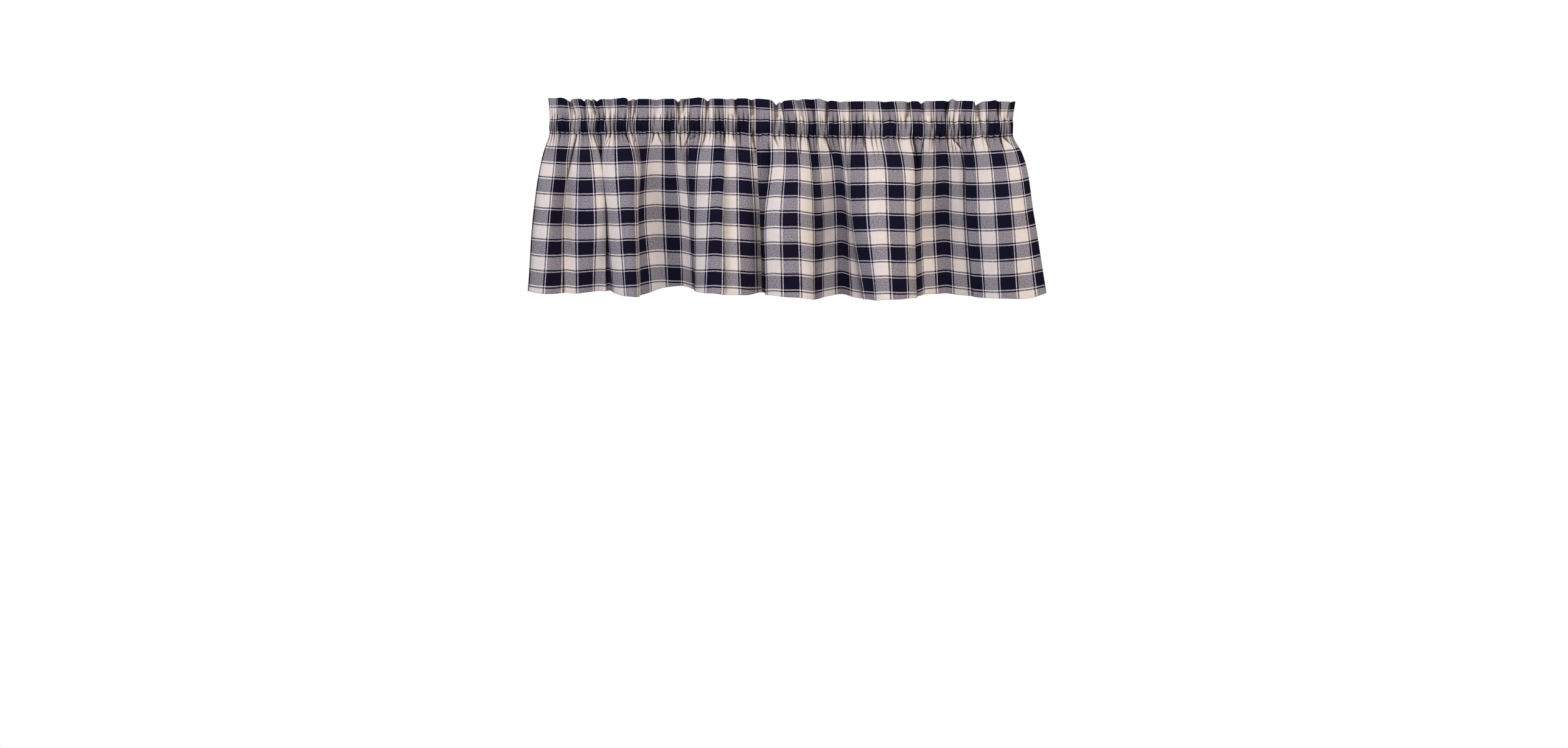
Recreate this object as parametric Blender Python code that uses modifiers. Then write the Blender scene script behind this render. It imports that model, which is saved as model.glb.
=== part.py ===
"""Rod pocket window valance: two gathered widths of checked cotton joined by a centre seam.

Run it with: blender --background --python part.py

The valance hangs in its own frame: the middle of its top edge is the origin, its width runs along X
and its face looks toward -Y. Each cloth width is one folded sheet, which runs from the hem up the
front, over the top fold and down the back to the lower stitching of the rod pocket.

All sizes below are in millimetres. A place on the flat cloth is given by `across`, from the left end,
and `down`, from the top fold.
"""

from collections import namedtuple

import bmesh
import bpy
import numpy as np

MM = 0.001

# The flat cloth
UPPER_STITCH = 42.0  # down to the upper row of stitching, above the rod
LOWER_STITCH = 71.0  # down to the lower row of stitching, below the rod
TAIL = 9.0  # of the turned-down layer below the lower stitching
CLOTH = 1.2  # thickness of one layer
SEAM_GAP = 0.8  # between the two widths on the flat cloth, and about half that where it is drawn in

# The same cloth as it hangs
POCKET_BULGE = 7.0  # of each layer, front and back, around the rod
LAYER_PITCH = 2.5  # between the middles of the header's two layers, square to the cloth
STEEPEST = 0.45  # least share of the cloth's facing that is turned to the front, for that pitch
GATHER_PITCH = 45.0  # along the flat cloth
GATHER_DEPTH = 1.6
GATHER_FADE = 60.0  # the gathers die out this far below the stitching
GATHER_AT_TOP = 0.3  # share of the gathers' depth that is left at the top edge
HIGH_SHARE = 0.3  # of the folds' middle depth is reached at the HIGH station

# Heights at which the folds are given, down the flat cloth. The rod's places hold along the pocket.
HIGH = 107.0
MIDDLE = 218.0
LOW = 328.0
STATIONS = np.array([0.0, UPPER_STITCH, LOWER_STITCH, HIGH, MIDDLE, LOW])

# Where each fold lies. `across` is its place on the flat cloth, `head`, `rod`, `high`, `mid` and `low`
# are its X at the top edge, at the rod and at the three stations, `y_mid` and `y_low` are its depth at
# two of them (minus is toward the room), and `hem` is the flat length down to the hem.
Fold = namedtuple("Fold", "name across head rod high mid low y_mid y_low hem")
FOLDS = (
    Fold("left end", 0, -420, -418, -429, -447, -453, -2, -9, 352),
    Fold("first crest", 35, -404, -403, -405, -413, -419, -18, -26, 353),
    Fold("first hollow", 77, -381, -374, -380, -392, -389, 9, -2, 353),
    Fold("second crest", 114, -362, -358, -357, -354, -357, -6, 9, 353),
    Fold("tuck, near lip", 155, -345, -340, -332, -322, -326, 9, 18, 352),
    Fold("tuck, bottom", 180, -334, -330, -331, -326, -316, 28, 16, 353),
    Fold("tuck, far lip", 203, -319, -316, -323, -315, -303, 4, -14, 355),
    Fold("third crest", 245, -292, -292, -285, -278, -269, -16, -40, 360),
    Fold("its shoulder", 264, -277, -279, -270, -265, -259, -4, -28, 361),
    Fold("its steep side", 296, -263, -266, -261, -265, -260, 20, 6, 361),
    Fold("first recess, left", 324, -244, -244, -249, -257, -248, 34, 28, 360),
    Fold("first recess", 374, -208, -208, -208, -207, -204, 38, 42, 350),
    Fold("first recess, right", 408, -188, -186, -189, -183, -179, 27, 30, 349),
    Fold("steep side", 441, -160, -163, -169, -171, -166, 9, -1, 350),
    Fold("shoulder", 472, -140, -141, -145, -152, -154, -15, -29, 351),
    Fold("fourth crest", 506, -122, -120, -120, -123, -126, -28, -49, 354),
    Fold("dip in it", 538, -102, -101, -100, -101, -97, -19, -41, 355),
    Fold("slope to the seam", 571, -83, -80, -77, -72, -70, -15, -26, 353),
    Fold("seam", 599, -57, -56, -55, -50, -47, 5, 4, 349),
    Fold("steep side", 624, -32, -31, -30, -40, -38, -17, -20, 352),
    Fold("fifth crest", 675, -1, 4, 6, 4, 6, -33, -40, 356),
    Fold("its shoulder", 708, 18, 25, 30, 33, 36, -26, -33, 357),
    Fold("its steep side", 740, 37, 43, 47, 55, 54, 5, 0, 358),
    Fold("second recess, left", 774, 60, 61, 65, 73, 73, 29, 25, 357),
    Fold("second recess", 806, 79, 81, 89, 99, 101, 33, 33, 357),
    Fold("steep side", 839, 97, 102, 103, 111, 121, 11, 9, 357),
    Fold("lip", 857, 111, 112, 110, 114, 131, -6, -10, 357),
    Fold("sixth crest", 904, 147, 149, 154, 156, 161, -26, -41, 357),
    Fold("its shoulder", 936, 174, 179, 185, 190, 193, -21, -35, 355),
    Fold("slope", 969, 201, 205, 213, 217, 219, -7, -16, 353),
    Fold("steep side", 1002, 226, 229, 231, 232, 234, 26, 18, 354),
    Fold("third recess, left", 1035, 246, 248, 248, 249, 254, 42, 40, 356),
    Fold("third recess", 1067, 270, 269, 274, 280, 284, 46, 49, 358),
    Fold("slope", 1132, 316, 312, 318, 325, 334, 19, 24, 357),
    Fold("last crest", 1197, 360, 362, 368, 378, 385, -11, -5, 358),
    Fold("slope", 1230, 383, 383, 392, 406, 417, -9, -3, 361),
    Fold("right end", 1265, 400, 396, 412, 433, 451, 0, 3, 358),
)

# How high the top edge and the two rows of stitching hang. The gathers draw the cloth in between them,
# most on the left width and least right of the seam.
Drawn = namedtuple("Drawn", "name across top upper lower")
DRAWN = (
    Drawn("left end", 0, 3, -34, -58),
    Drawn("left width", 80, 2, -33, -59),
    Drawn("left width", 540, 2, -33, -59),
    Drawn("seam", 599, 2, -34, -61),
    Drawn("right of the seam", 652, -2, -36, -62),
    Drawn("fifth crest", 715, 1, -38, -64),
    Drawn("second recess", 806, -2, -38, -65),
    Drawn("sixth crest", 904, -3, -37, -66),
    Drawn("third recess", 1067, -2, -38, -67),
    Drawn("slope", 1132, -2, -38, -66),
    Drawn("last crest", 1197, -3, -37, -64),
    Drawn("right end", 1265, -3, -36, -61),
)

# Places where the ruffled header folds back: its edge there lies `back` and dips by `dip`.
Notch = namedtuple("Notch", "across half_width back dip")
NOTCHES = (
    Notch(71, 12, 10, 4),
    Notch(150, 13, 10, 2),
    Notch(266, 11, 10, 3),
    Notch(341, 16, 8, 1),
    Notch(401, 12, 9, 4),
    Notch(470, 11, 9, 3),
    Notch(552, 11, 7, 1),
    Notch(642, 13, 11, 6),
    Notch(710, 14, 7, 1),
    Notch(788, 12, 8, 1),
    Notch(834, 14, 6, 1),
    Notch(981, 12, 8, 1),
    Notch(1020, 12, 9, 4),
    Notch(1080, 11, 7, 1),
    Notch(1161, 13, 10, 6),
    Notch(1210, 12, 5, 0),
    Notch(1243, 12, 6, 1),
)
HEADER_LEAN = -2.0  # the ruffle leans this far toward the room where it isn't notched

# The mesh of each cloth width
COLUMNS_PER_FOLD = 3
SEAM_COLUMN = 2.0  # a column lies this far from the seam, so that both widths meet there evenly
SKIRT_ROWS = (1.0, 0.84, 0.68, 0.53, 0.38, 0.24, 0.11, 0.0)  # from the hem to the tail
POCKET_ROWS = (0.3, 0.7)  # between the two rows of stitching
HEADER_ROW = 0.5  # between the upper stitching and the top fold
FOLD_REACH = 1.0  # the top fold starts this far below the edge
INTEGRATION_STEP = 3.0  # down the cloth
LONGEST_DROP = 364.0  # the cloth is followed down to here, a little past the longest hem
LEAST_FALL = 0.5  # share of each step that still goes down where the cloth leans most

COTTON_TONE = (0.19, 0.16, 0.18, 1.0)  # linear: navy and cream in even parts
COTTON_ROUGHNESS = 0.9


def smooth(knots, values, at):
    """The smooth curve through the values at the knots, read at the given places."""
    knots = np.asarray(knots, float)
    values = np.asarray(values, float)
    slopes = np.gradient(values, knots, axis=0)
    start = np.clip(np.searchsorted(knots, at, side="right") - 1, 0, len(knots) - 2)
    span = knots[start + 1] - knots[start]
    share = (at - knots[start]) / span
    if values.ndim > 1:
        span = span[:, None]
        share = share[:, None]
    return (
        values[start] * (1 + 2 * share) * (1 - share) ** 2
        + values[start + 1] * share**2 * (3 - 2 * share)
        + slopes[start] * span * share * (1 - share) ** 2
        - slopes[start + 1] * span * share**2 * (1 - share)
    )


def fold_values(field, across, table=FOLDS):
    """One column of a table of places along the cloth, as a smooth curve."""
    return smooth(
        [row.across for row in table],
        [getattr(row, field) for row in table],
        across,
    )


def notch_sum(field, across):
    """How far the header's notches push the top edge at each place along the cloth."""
    return sum(
        getattr(notch, field) * np.exp(-(((across - notch.across) / notch.half_width) ** 2))
        for notch in NOTCHES
    )


def gathers(across, down):
    """The small waves that the drawn-up stitching leaves in the cloth."""
    above = np.clip(down / UPPER_STITCH, GATHER_AT_TOP, 1.0)
    below = np.clip(1.0 - (down - LOWER_STITCH) / GATHER_FADE, 0.0, 1.0)
    wave = np.sin(2 * np.pi * across / GATHER_PITCH)
    return GATHER_DEPTH * wave * above * below


def hung_cloth(across):
    """The hung front layer at each place across it: `down` values, and its x, y and z at each of them."""
    down = np.arange(0.0, LONGEST_DROP + INTEGRATION_STEP, INTEGRATION_STEP)
    rod = fold_values("rod", across)
    x_stations = [fold_values("head", across), rod, rod]
    x_stations += [fold_values(field, across) for field in ("high", "mid", "low")]
    x = smooth(STATIONS, x_stations, down)

    y_top = HEADER_LEAN + notch_sum("back", across)
    y_mid = fold_values("y_mid", across)
    flat = np.zeros_like(across)
    y_stations = [y_top, flat, flat, HIGH_SHARE * y_mid, y_mid, fold_values("y_low", across)]
    y = smooth(STATIONS, y_stations, down)
    y += gathers(across[None, :], down[:, None])

    steps = np.sqrt(
        np.maximum(
            INTEGRATION_STEP**2 - np.diff(x, axis=0) ** 2 - np.diff(y, axis=0) ** 2,
            (LEAST_FALL * INTEGRATION_STEP) ** 2,
        )
    )
    top, upper, lower = (fold_values(field, across, DRAWN) for field in ("top", "upper", "lower"))
    middles = (down[:-1] + down[1:]) / 2
    steps[middles < UPPER_STITCH] = INTEGRATION_STEP * (top - upper) / UPPER_STITCH
    in_pocket = (middles > UPPER_STITCH) & (middles < LOWER_STITCH)
    steps[in_pocket] = INTEGRATION_STEP * (upper - lower) / (LOWER_STITCH - UPPER_STITCH)
    z = np.vstack([top, top - np.cumsum(steps, axis=0)])
    z -= notch_sum("dip", across) * np.clip(1 - down / UPPER_STITCH, 0, 1)[:, None]
    return down, x, y, z


def pocket_bulge(share):
    """How much of its bulge the pocket has, from none at one row of stitching to none at the other."""
    return 4 * share * (1 - share)


def sheet_rows(across):
    """The rows of one folded sheet, from its hem to its tail: (down, layers back, bulge) for each."""
    tail = LOWER_STITCH + TAIL
    skirt = fold_values("hem", across) - tail
    pocket = LOWER_STITCH - UPPER_STITCH
    even = np.ones_like(across)
    rows = [(tail + share * skirt, 0.0, 0.0) for share in SKIRT_ROWS]
    rows += [(even * LOWER_STITCH, 0.0, 0.0)]
    rows += [(even * (LOWER_STITCH - u * pocket), 0.0, -pocket_bulge(u)) for u in POCKET_ROWS]
    header = (UPPER_STITCH, HEADER_ROW * UPPER_STITCH, FOLD_REACH)
    rows += [(even * down, 0.0, 0.0) for down in header]
    rows += [(even * 0.0, 0.5, 0.0)]
    rows += [(even * down, 1.0, 0.0) for down in reversed(header)]
    rows += [(even * (UPPER_STITCH + u * pocket), 1.0, pocket_bulge(u)) for u in POCKET_ROWS]
    rows += [(even * LOWER_STITCH, 1.0, 0.0), (even * tail, 1.0, 0.0)]
    return rows


def sheet_points(across):
    """The points of one folded sheet, row by row, in metres."""
    down, x, y, z = hung_cloth(across)
    slope_x = np.gradient(x, across, axis=1)
    slope_y = np.gradient(y, across, axis=1)
    facing = slope_x / np.hypot(slope_x, slope_y)
    pitch = LAYER_PITCH / np.maximum(facing, STEEPEST)
    points = []
    for row_down, layers, bulge in sheet_rows(across):
        for column, place in enumerate(row_down):
            at = [np.interp(place, down, grid[:, column]) for grid in (x, y, z, pitch)]
            back = layers * at[3] + bulge * POCKET_BULGE
            points.append((at[0], at[1] + back, at[2]))
    return np.array(points) * MM


def columns_between(start, end):
    """Places across the cloth from start to end: each fold and a few between it and the next one."""
    folds = np.array([fold.across for fold in FOLDS], float)
    shares = np.arange(0, len(folds) - 1, 1 / COLUMNS_PER_FOLD)
    places = np.interp(shares, np.arange(len(folds)), folds)
    inside = places[(places > start + SEAM_COLUMN) & (places < end - SEAM_COLUMN)]
    return np.concatenate([[start, start + SEAM_COLUMN], inside, [end - SEAM_COLUMN, end]])


def check_cotton():
    """The material of both widths: the even tone that the navy and cream check has from afar."""
    material = bpy.data.materials.new("Navy and cream checked cotton")
    material.use_nodes = True
    shader = material.node_tree.nodes["Principled BSDF"]
    shader.inputs["Base Color"].default_value = COTTON_TONE
    shader.inputs["Roughness"].default_value = COTTON_ROUGHNESS
    shader.inputs["Metallic"].default_value = 0.0
    return material


def make_panel(name, across, material, collection):
    """One cloth width: a grid laid along the folded sheet and given the cloth's thickness."""
    points = sheet_points(across)
    rows = len(points) // len(across)
    mesh = bpy.data.meshes.new(name)
    grid = bmesh.new()
    bmesh.ops.create_grid(grid, x_segments=len(across) - 1, y_segments=rows - 1, size=0.5)
    grid.to_mesh(mesh)
    grid.free()
    mesh.vertices.foreach_set("co", points.ravel())
    mesh.materials.append(material)
    mesh.shade_smooth()
    panel = bpy.data.objects.new(name, mesh)
    collection.objects.link(panel)
    thickness = panel.modifiers.new("Cloth thickness", "SOLIDIFY")
    thickness.thickness = CLOTH * MM
    thickness.offset = 0.0
    return panel


def main():
    for thing in list(bpy.data.objects):
        bpy.data.objects.remove(thing)
    collection = bpy.data.collections.new("window_valance")
    bpy.context.scene.collection.children.link(collection)
    material = check_cotton()
    seam = next(fold.across for fold in FOLDS if fold.name == "seam")
    left = columns_between(FOLDS[0].across, seam - SEAM_GAP / 2)
    right = columns_between(seam + SEAM_GAP / 2, FOLDS[-1].across)
    make_panel("panel_left", left, material, collection)
    make_panel("panel_right", right, material, collection)


main()
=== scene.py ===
"""Rod pocket window valance in navy and cream check cotton: its two cloth widths, their stitching and
the stage they are shown on.

Each width is one thin folded sheet on the folds of its CAD solid. It runs from the turned-up hem up the
front, over the top fold and down the back to just below the lower stitching of the rod pocket.

Sizes are in millimetres until the mesh is filled. A place on the flat cloth is given by `across`, from
the left end, and `down`, from the top fold. X, Y and Z are those of the CAD frame.
"""

from collections import namedtuple

import bpy
import numpy as np
from mathutils import Matrix, Vector


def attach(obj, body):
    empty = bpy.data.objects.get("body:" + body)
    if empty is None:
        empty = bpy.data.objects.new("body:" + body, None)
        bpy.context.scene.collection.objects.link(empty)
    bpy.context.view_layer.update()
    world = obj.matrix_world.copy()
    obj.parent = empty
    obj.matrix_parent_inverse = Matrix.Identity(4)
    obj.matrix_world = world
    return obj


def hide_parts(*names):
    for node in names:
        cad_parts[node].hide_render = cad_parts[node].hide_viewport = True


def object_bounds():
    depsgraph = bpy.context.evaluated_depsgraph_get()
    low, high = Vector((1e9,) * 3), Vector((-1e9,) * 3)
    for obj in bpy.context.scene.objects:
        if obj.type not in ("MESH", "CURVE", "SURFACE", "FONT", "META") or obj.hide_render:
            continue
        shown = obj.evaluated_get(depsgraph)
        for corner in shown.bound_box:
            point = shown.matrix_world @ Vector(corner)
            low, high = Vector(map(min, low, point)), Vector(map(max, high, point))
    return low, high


bl_info = {
    "name": "Rod pocket window valance",
    "version": (1, 0, 0),
    "blender": (4, 5, 0),
    "location": "3D View > Sidebar > Valance",
    "description": "Dresses the valance's two cloth widths, its stitching and its stage",
    "category": "Object",
}

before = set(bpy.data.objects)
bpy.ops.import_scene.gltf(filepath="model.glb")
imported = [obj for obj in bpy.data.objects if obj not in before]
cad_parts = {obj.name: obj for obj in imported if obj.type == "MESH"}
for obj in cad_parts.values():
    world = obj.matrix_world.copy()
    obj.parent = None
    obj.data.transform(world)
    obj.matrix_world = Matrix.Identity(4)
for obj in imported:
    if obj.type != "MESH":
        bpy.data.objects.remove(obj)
CAD_LOW, CAD_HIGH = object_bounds()
CAD_MIDDLE = (CAD_LOW + CAD_HIGH) / 2

MM = 0.001
TO_MM = 1000.0  # from metres

# ---- The cloth as it hangs ----

UPPER_ROW = 42.0  # down to the upper row of stitching, above the rod
LOWER_ROW = 71.0  # down to the lower row of stitching, below the rod
POCKET = LOWER_ROW - UPPER_ROW
TAIL = 9.0  # of the turned-down layer below the lower stitching
POCKET_BULGE = 6.0  # of each layer, front and back, around the rod
LAYER_PITCH = 2.5  # between the header's two layers, square to the cloth
STEEPEST = 0.45  # least share of the cloth's facing that is turned to the front, for that pitch
GATHER_PITCH = 45.0  # along the flat cloth
GATHER_DEPTH = 1.6
GATHER_FADE = 60.0  # the gathers die out this far below the stitching
GATHER_AT_TOP = 0.3  # share of that depth left at the top edge
HIGH_SHARE = 0.3  # of the folds' middle depth is reached at the HIGH station

# Where the folds are given, down the flat cloth. The rod's places hold all along the pocket.
HIGH = 107.0
MIDDLE = 218.0
LOW = 328.0
STATIONS = np.array([0.0, UPPER_ROW, LOWER_ROW, HIGH, MIDDLE, LOW])

# Where each fold lies. `across` is its place on the flat cloth, `head`, `rod`, `high`, `mid` and `low`
# are its X at the top edge, at the rod and at the three stations, `y_mid` and `y_low` are its depth at
# two of them (minus is toward the room), and `hem` is the flat length down to the hem.
Fold = namedtuple("Fold", "name across head rod high mid low y_mid y_low hem")
FOLDS = [Fold(*row) for row in (
    ("left end", 0, -420, -418, -429, -447, -453, -2, -9, 352),
    ("first crest", 35, -404, -403, -405, -413, -419, -18, -26, 353),
    ("first hollow", 77, -381, -374, -380, -392, -389, 9, -2, 353),
    ("second crest", 114, -362, -358, -357, -354, -357, -6, 9, 353),
    ("tuck, near lip", 155, -345, -340, -332, -322, -326, 9, 18, 352),
    ("tuck, bottom", 180, -334, -330, -331, -326, -316, 28, 16, 353),
    ("tuck, far lip", 203, -319, -316, -323, -315, -303, 4, -14, 355),
    ("third crest", 245, -292, -292, -285, -278, -269, -16, -40, 360),
    ("shoulder", 264, -277, -279, -270, -265, -259, -4, -28, 361),
    ("steep side", 296, -263, -266, -261, -265, -260, 20, 6, 361),
    ("first recess, left", 324, -244, -244, -249, -257, -248, 34, 28, 360),
    ("first recess", 374, -208, -208, -208, -207, -204, 38, 42, 350),
    ("first recess, right", 408, -188, -186, -189, -183, -179, 27, 30, 349),
    ("steep side", 441, -160, -163, -169, -171, -166, 9, -1, 350),
    ("shoulder", 472, -140, -141, -145, -152, -154, -15, -29, 351),
    ("fourth crest", 506, -122, -120, -120, -123, -126, -28, -49, 354),
    ("dip in it", 538, -102, -101, -100, -101, -97, -19, -41, 355),
    ("slope to the seam", 571, -83, -80, -77, -72, -70, -15, -26, 353),
    ("seam", 599, -57, -56, -55, -50, -47, 5, 4, 349),
    ("steep side", 624, -32, -31, -30, -40, -38, -17, -20, 352),
    ("fifth crest", 675, -1, 4, 6, 4, 6, -33, -40, 356),
    ("shoulder", 708, 18, 25, 30, 33, 36, -26, -33, 357),
    ("steep side", 740, 37, 43, 47, 55, 54, 5, 0, 358),
    ("second recess, left", 774, 60, 61, 65, 73, 73, 29, 25, 357),
    ("second recess", 806, 79, 81, 89, 99, 101, 33, 33, 357),
    ("steep side", 839, 97, 102, 103, 111, 121, 11, 9, 357),
    ("lip", 857, 111, 112, 110, 114, 131, -6, -10, 357),
    ("sixth crest", 904, 147, 149, 154, 156, 161, -26, -41, 357),
    ("shoulder", 936, 174, 179, 185, 190, 193, -21, -35, 355),
    ("slope", 969, 201, 205, 213, 217, 219, -7, -16, 353),
    ("steep side", 1002, 226, 229, 231, 232, 234, 26, 18, 354),
    ("third recess, left", 1035, 246, 248, 248, 249, 254, 42, 40, 356),
    ("third recess", 1067, 270, 269, 274, 280, 284, 46, 49, 358),
    ("slope", 1132, 316, 312, 318, 325, 334, 19, 24, 357),
    ("last crest", 1197, 360, 362, 368, 378, 385, -11, -5, 358),
    ("slope", 1230, 383, 383, 392, 406, 417, -9, -3, 361),
    ("right end", 1265, 400, 396, 412, 433, 451, 0, 3, 358),
)]

# How high the top edge and the two rows of stitching hang. The gathers draw the cloth in between them,
# most on the left width and least right of the seam.
Drawn = namedtuple("Drawn", "name across top upper lower")
DRAWN = [Drawn(*row) for row in (
    ("left end", 0, 3, -34, -58),
    ("left width", 80, 2, -33, -59),
    ("left width", 540, 2, -33, -59),
    ("seam", 599, 2, -34, -61),
    ("right of the seam", 652, -2, -36, -62),
    ("fifth crest", 715, 1, -38, -64),
    ("second recess", 806, -2, -38, -65),
    ("sixth crest", 904, -3, -37, -66),
    ("third recess", 1067, -2, -38, -67),
    ("slope", 1132, -2, -38, -66),
    ("last crest", 1197, -3, -37, -64),
    ("right end", 1265, -3, -36, -61),
)]

RIGHT_END = float(FOLDS[-1].across)
SEAM = float(next(fold.across for fold in FOLDS if fold.name == "seam"))

# The valleys of the ruffled header. Each lies `across` at the top edge, `back` into the cloth and `dip`
# below it, slants by `slant` down to the stitching, and is pushed sideways by `tuck`.
Valley = namedtuple("Valley", "across half_width back dip slant tuck", defaults=(0, 0))
VALLEYS = [Valley(*row) for row in (
    (46, 12, -2, -1),
    (70, 8, 15, 5, 9),
    (90, 6, 5, 0, -2),
    (122, 7, 6, 4, -4),
    (147, 7, 15, 2, 14, 3),
    (176, 8, 5, 4),
    (210, 9, 8, 0),
    (246, 14, -3, -2, 0, 4),
    (265, 7, 17, 3, 8, -6),
    (287, 6, 8, 1),
    (341, 11, 11, 1, -4),
    (400, 6, 14, 5, -2),
    (418, 5, 6, 0, -13),
    (446, 14, -2, -2),
    (470, 6, 14, 4),
    (530, 10, 5, 1),
    (554, 5, 12, 1, 0, 2),
    (592, 5, 8, 2, 3),
    (640, 7, 16, 7, -4),
    (656, 6, 6, 3, 4),
    (709, 9, 10, 1, 4),
    (748, 7, 4, 0),
    (766, 10, -2, -2),
    (788, 6, 13, 1, -2, 3),
    (832, 12, 7, 1, 8),
    (854, 5, 6, 0),
    (903, 14, 4, -1),
    (932, 8, 3, 1, 4),
    (982, 6, 12, 1, -8, 3),
    (1018, 7, 12, 4, 4),
    (1046, 7, 5, 0),
    (1082, 5, 12, 1, -6, 3),
    (1093, 8, -3, -3),
    (1106, 6, 4, 0),
    (1160, 7, 14, 7, 3, -3),
    (1202, 9, -2, -2),
    (1211, 5, 10, 0, -5, 2),
    (1250, 6, 8, 1, -16),
)]
VALLEY_DEPTH = 1.15  # all of them, deepened together
DEEPEST_VALLEY = 12.0  # no valley goes further back than this
VALLEY_FLOOR = 3.0  # how round the valleys' floors are: 2 is a soft bell, and more has steeper walls
VALLEY_WALLS = 1.5  # the same for the tucks and dips
VALLEY_AT_STITCH = 0.4  # share of that depth left at the upper stitching
HEADER_LEAN = -2.0  # the ruffle leans this far toward the room where it isn't notched

# Creases and dimples, given one by one. Each is `deep` at one place on the flat cloth and fades to
# another.
Crease = namedtuple("Crease", "across down to_across to_down deep width")
CREASES = [Crease(*row) for row in (
    # dimples above the upper stitching
    (78, 28, 83, 37, 2, 7),
    (150, 30, 154, 38, 2, 6),
    (286, 27, 284, 37, 2, 6),
    (404, 30, 402, 39, 2, 6),
    (541, 36, 541, 30, 3, 8),
    (590, 32, 592, 39, 2, 6),
    (640, 34, 642, 39, 2, 7),
    (708, 30, 714, 38, 2, 7),
    (749, 26, 747, 38, 2, 6),
    (786, 30, 782, 39, 2, 6),
    (976, 30, 970, 38, 2, 7),
    (1035, 29, 1035, 35, 3, 8),
    (1084, 26, 1076, 38, 2, 5),
    (1163, 30, 1166, 38, 2, 8),
    (1214, 27, 1214, 35, 3, 8),
    (1254, 20, 1236, 38, 4, 6),
    # creases that fall from the lower stitching
    (82, 74, 72, 150, 9, 3.2),
    (150, 74, 158, 110, 5, 3.2),
    (181, 74, 188, 110, 7, 2.6),
    (211, 73, 202, 92, 5, 2.2),
    (232, 72, 234, 86, 3, 2.6),
    (254, 74, 263, 94, 4, 2.2),
    (276, 74, 285, 83, 6, 2.2),
    (285, 83, 276, 90, 5, 2.2),
    (304, 73, 306, 82, 3, 2.6),
    (346, 73, 357, 93, 5, 2.2),
    (336, 73, 333, 90, 4, 2.2),
    (372, 73, 372, 90, 5, 4.5),
    (400, 73, 410, 104, 6, 2.6),
    (427, 74, 416, 98, 5, 2.2),
    (432, 82, 452, 75, 4, 2.2),
    (466, 73, 462, 100, 4, 2.6),
    (522, 72, 517, 94, 6, 2.6),
    (548, 73, 552, 88, 3, 2.6),
    (593, 73, 598, 104, 7, 2.6),
    (634, 74, 641, 92, 4, 2.2),
    (704, 72, 697, 104, 6, 2.6),
    (727, 72, 731, 98, 7, 2.6),
    (756, 73, 757, 90, 3, 2.6),
    (785, 72, 793, 108, 7, 3.2),
    (840, 71, 836, 106, 5, 2.6),
    (886, 76, 889, 100, 3, 3.2),
    (990, 72, 1002, 118, 8, 3.2),
    (1021, 72, 1012, 104, 6, 2.6),
    (1046, 73, 1044, 92, 3, 2.6),
    (1087, 72, 1085, 98, 5, 2.2),
    (1101, 72, 1121, 93, 9, 2.2),
    (1150, 72, 1145, 96, 6, 2.6),
    (1178, 73, 1182, 92, 3, 2.6),
    (1213, 72, 1217, 98, 5, 2.6),
    (1225, 74, 1245, 90, 7, 2.2),
)]

CREASE_DEPTH = 1.8  # all of them, deepened together
CREASE_AT_END = 0.2  # share of that depth left at the second place
CREASE_FLOOR = 1.3  # how round the creases' floors are
DEEPEST_CREASE = 8.0  # no place goes deeper than this

# Lips where the cloth dives back behind a crest. Each runs down from one place on the flat cloth to
# `to_across` at LIP_END. Behind it the cloth comes back within `reach`, to the left if that is below 0.
Lip = namedtuple("Lip", "name across down to_across deep reach")
LIPS = [Lip(*row) for row in (
    ("first hollow", 72, 120, 74, 5, -9),
    ("tuck", 161, 95, 164, 5, 12),
    ("third crest", 270, 78, 274, 11, 22),
    ("fourth crest", 431, 80, 446, 11, -20),
    ("dip in the fourth crest", 519, 84, 527, 5, 12),
    ("fifth crest, left", 624, 80, 620, 10, -16),
    ("fifth crest, right", 726, 80, 728, 9, 22),
    ("sixth crest, left", 848, 90, 852, 10, -16),
    ("sixth crest, right", 984, 90, 986, 11, 24),
    ("last crest", 1122, 84, 1126, 6, -24),
)]
LIP_END = 360.0
LIP_FADE = 35.0  # a lip reaches its full depth this far below its start
LIP_WALL = 4.0  # the cloth dives back within this much of the flat cloth
LIP_UNDER = 5.0  # and goes this far sideways under the lip
LIP_OUT = 9.0  # it is back out from under it after this much more

WAVES = 7  # that make up each seeded wave along the cloth

# The small puckers that the two rows of stitching draw up
PUCKER_PITCH = 13.0  # along the flat cloth
PUCKER_WANDER = 1.1  # radians by which the pitch wanders
PUCKER_POINT = 0.7  # 1 is a plain wave, and less has narrower creases
PUCKER_LEVEL = 0.4  # share of a pucker's depth that stands in front of the plain cloth
PUCKER_SHARE = 1.6  # of the depth that would take up all the slack there
PUCKER_MEAN, PUCKER_SWING = 0.85, 0.3  # of that depth, along the cloth
PUCKER_CALM = 0.1  # share that is missing halfway between the two rows
PUCKER_FADE_UP = 11.0  # above the upper stitching
PUCKER_FADE_DOWN = 12.0  # below the lower stitching
FADE_SWING, FADE_LEAST = 0.5, 5.0  # how far that varies, and its least
TIGHTEST, SLACKEST = 0.3, 0.98  # share of the flat width that the stitching leaves
FINE_PITCH = 6.5  # of the finer puckers right at the thread
FINE_DEPTH = 2.1
FINE_MEAN, FINE_SWING, FINE_MOST = 0.7, 0.6, 1.5  # of that depth
FINE_FADE = 6.0  # above and below each row of stitching
STITCH_WAVE = 0.7  # how far the rows of stitching wander up and down
UPPER_WAVE_FADE = 9.0  # above and below the upper row
LOWER_WAVE_FADE = 14.0
SCALLOP = 1.8  # how far the cloth sags between the creases of the lower row
SCALLOP_FADE = 8.0

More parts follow.
